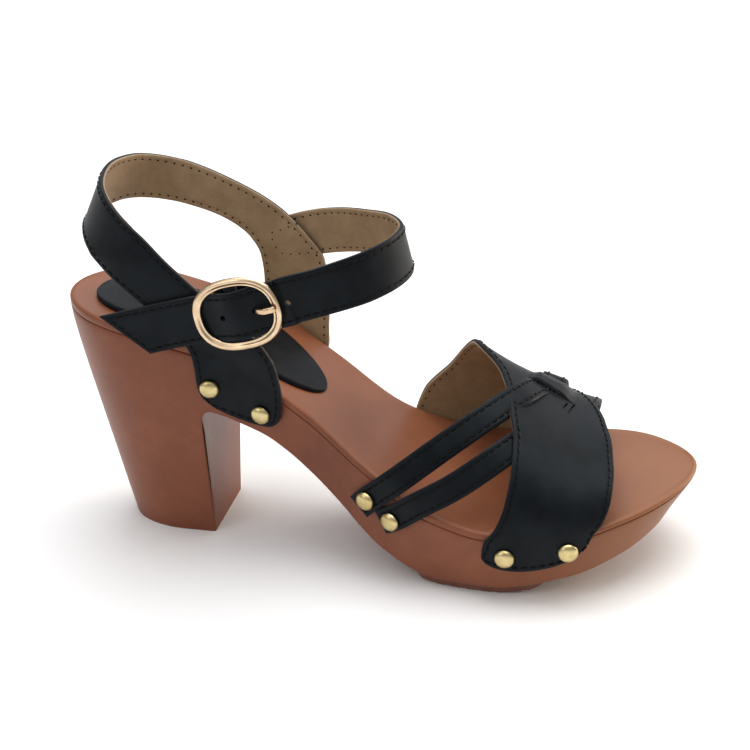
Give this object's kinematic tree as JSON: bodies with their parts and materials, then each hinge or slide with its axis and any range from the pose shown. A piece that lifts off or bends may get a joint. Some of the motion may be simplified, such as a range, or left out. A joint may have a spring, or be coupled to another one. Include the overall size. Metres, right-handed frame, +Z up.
{
  "type": "heeled sandal",
  "caption": "Right platform sandal with a block heel, a wide forefoot band, narrow cross straps and a buckled ankle strap, standing empty.",
  "frame": {"origin": "centre of the bounding box at its bottom, on the floor", "axes": "+X to the toe, +Y to the wearer's left, which is the inner side of this right shoe, +Z up"},
  "size_m": [0.2378, 0.0975, 0.1431],
  "materials": {
    "moulded_brown": "moulded, semi-gloss, wood look",
    "tread_brown": "matt",
    "black_leather": "smooth, slight sheen",
    "black_sock": "smooth, glossy",
    "gold_metal": "polished, light gold",
    "brass_nail": "satin"
  },
  "bodies": {
    "root": {"platform_unit": "moulded_brown", "forepart_outsole": "tread_brown", "heel_sock": "black_sock", "forefoot_upper": "black_leather", "heel_strap": "black_leather", "ankle_strap": "black_leather", "buckle_frame": "gold_metal", "buckle_prong": "gold_metal", "buckle_loop": "black_leather", "nail_1": "brass_nail", "nail_2": "brass_nail", "nail_3": "brass_nail", "nail_4": "brass_nail", "nail_5": "brass_nail", "nail_6": "brass_nail", "nail_7": "brass_nail", "nail_8": "brass_nail", "nail_9": "brass_nail", "nail_10": "brass_nail", "nail_11": "brass_nail", "nail_12": "brass_nail"}
  },
  "joints": []
}
